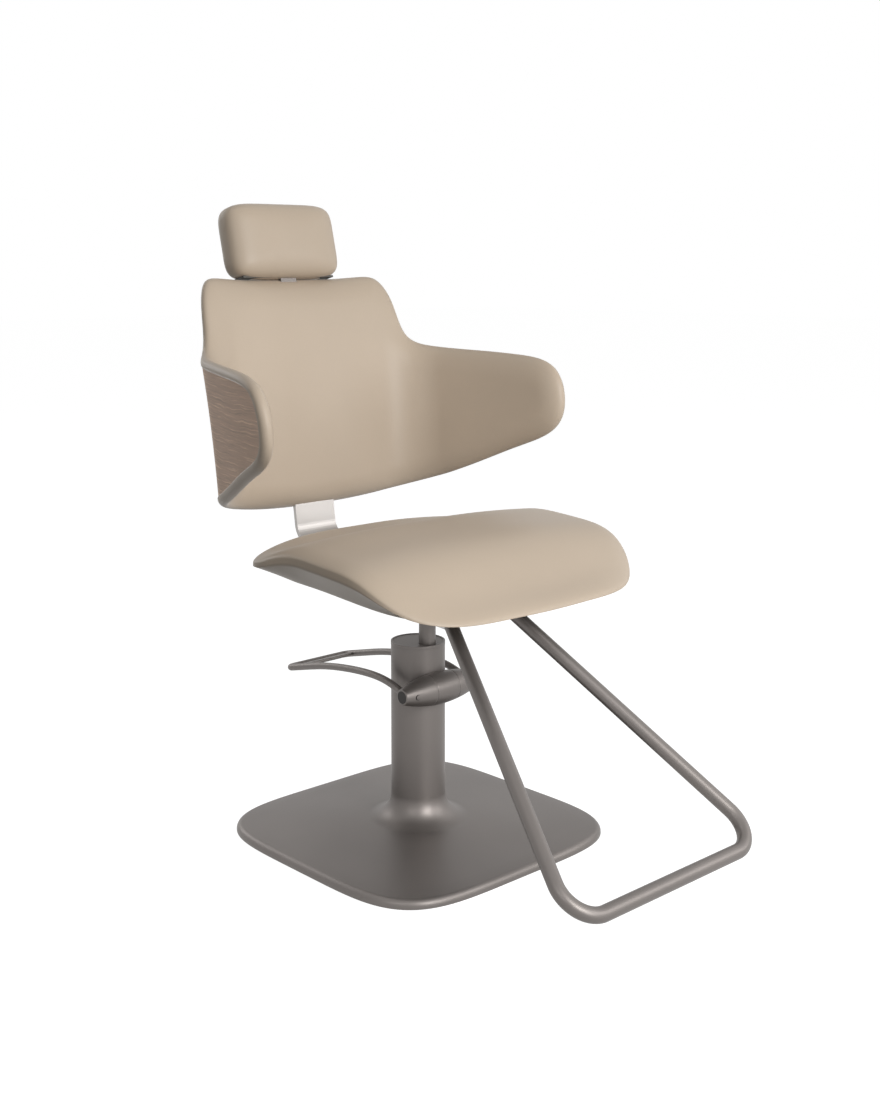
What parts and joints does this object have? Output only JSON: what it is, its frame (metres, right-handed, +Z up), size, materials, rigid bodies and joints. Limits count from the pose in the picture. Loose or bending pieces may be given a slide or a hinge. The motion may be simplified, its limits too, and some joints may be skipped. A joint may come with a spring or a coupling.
{
  "type": "threading chair",
  "caption": "Swivelling salon chair with a pedal-pumped lift, a saddle seat, a wrap-round wood-backed back with arms, a sliding headrest and a bent-tube footrest",
  "frame": {"origin": "on the floor under the column's axis, on the lower face of the floor pad", "axes": "+Z up; the sitter faces -Y; +X is the sitter's left; the seat stands at its lowest"},
  "size_m": [0.6642, 0.9713, 1.0557],
  "materials": {
    "satin_metal": "satin",
    "plain_steel": "satin",
    "bright_steel": "polished",
    "dark_steel": "satin",
    "ballast": "rough",
    "bronze": "satin",
    "rubber": "matt",
    "dark_plastic": "matt",
    "plywood": "plain",
    "veneer": "satin",
    "hide": "soft grain"
  },
  "bodies": {
    "base": {"floor_pad": "rubber", "base_plate": "ballast", "base_cover": "satin_metal", "pump_bolts": "dark_steel", "pump_block": "plain_steel", "pump_cylinder": "plain_steel", "oil_tank": "dark_plastic", "tank_cap": "plain_steel", "plunger_barrel": "plain_steel", "release_valve": "bronze", "ram_gland": "bronze", "wiper_seal": "rubber", "column_cover": "satin_metal", "column_cap": "satin_metal", "lever_housing": "satin_metal", "housing_screws": "dark_steel", "shaft_bushes": "bronze"},
    "lift": {"piston_head": "plain_steel", "piston_seal": "rubber", "thrust_washer": "bronze"},
    "seat": {"ram": "satin_metal", "seat_hub": "plain_steel", "hub_screws": "dark_steel", "seat_plate": "plain_steel", "seat_board": "plywood", "seat_cushion": "hide", "seat_bolts": "dark_steel", "footrest_tube": "satin_metal", "footrest_clamp": "plain_steel", "clamp_bolts": "dark_steel", "tube_grub_screws": "dark_steel", "back_strap": "bright_steel", "strap_bolts": "dark_steel", "back_plate": "plain_steel", "back_bolts": "dark_steel", "shell_studs": "dark_plastic", "back_shell": "veneer", "back_cushion": "hide", "headrest_sleeve": "plain_steel", "sleeve_screws": "dark_steel"},
    "headrest": {"headrest_stem": "bright_steel", "headrest_plate": "plain_steel", "headrest_screws": "dark_steel", "headrest_base": "dark_plastic", "headrest_cushion": "hide"},
    "lever": {"cross_shaft": "bright_steel", "lever_hubs": "satin_metal", "lever_loop": "satin_metal", "pedal_pad": "rubber", "hub_pins": "dark_steel", "pump_crank": "plain_steel", "crank_key": "dark_steel"},
    "plunger": {"pump_plunger": "bright_steel", "return_spring": "bright_steel"}
  },
  "joints": [
    {"name": "seat_lift", "type": "slide", "parent": "base", "child": "lift", "axis": [0, 0, 1], "range_m": [0, 0.14]},
    {"name": "seat_turn", "type": "hinge", "parent": "lift", "child": "seat", "pos_m": [0, -0.023, 0], "axis": [0, 0, 1], "continuous": true},
    {"name": "headrest_slide", "type": "slide", "parent": "seat", "child": "headrest", "axis": [0, 0.2419, 0.9703], "range_m": [0, 0.07]},
    {"name": "lever_tread", "type": "hinge", "parent": "base", "child": "lever", "pos_m": [0, -0.052, 0.2575], "axis": [-1, 0, 0], "range_deg": [0, 28], "stiffness_Nm_per_rad": 6, "springref_deg": -22.92},
    {"name": "plunger_push", "type": "slide", "parent": "base", "child": "plunger", "axis": [0, 0, -1], "range_m": [0, 0.0187], "deforming": ["return_spring"]}
  ],
  "couplings": [
    {"joint": "plunger_push", "follows": "lever_tread", "m_per_rad": 0.038}
  ]
}
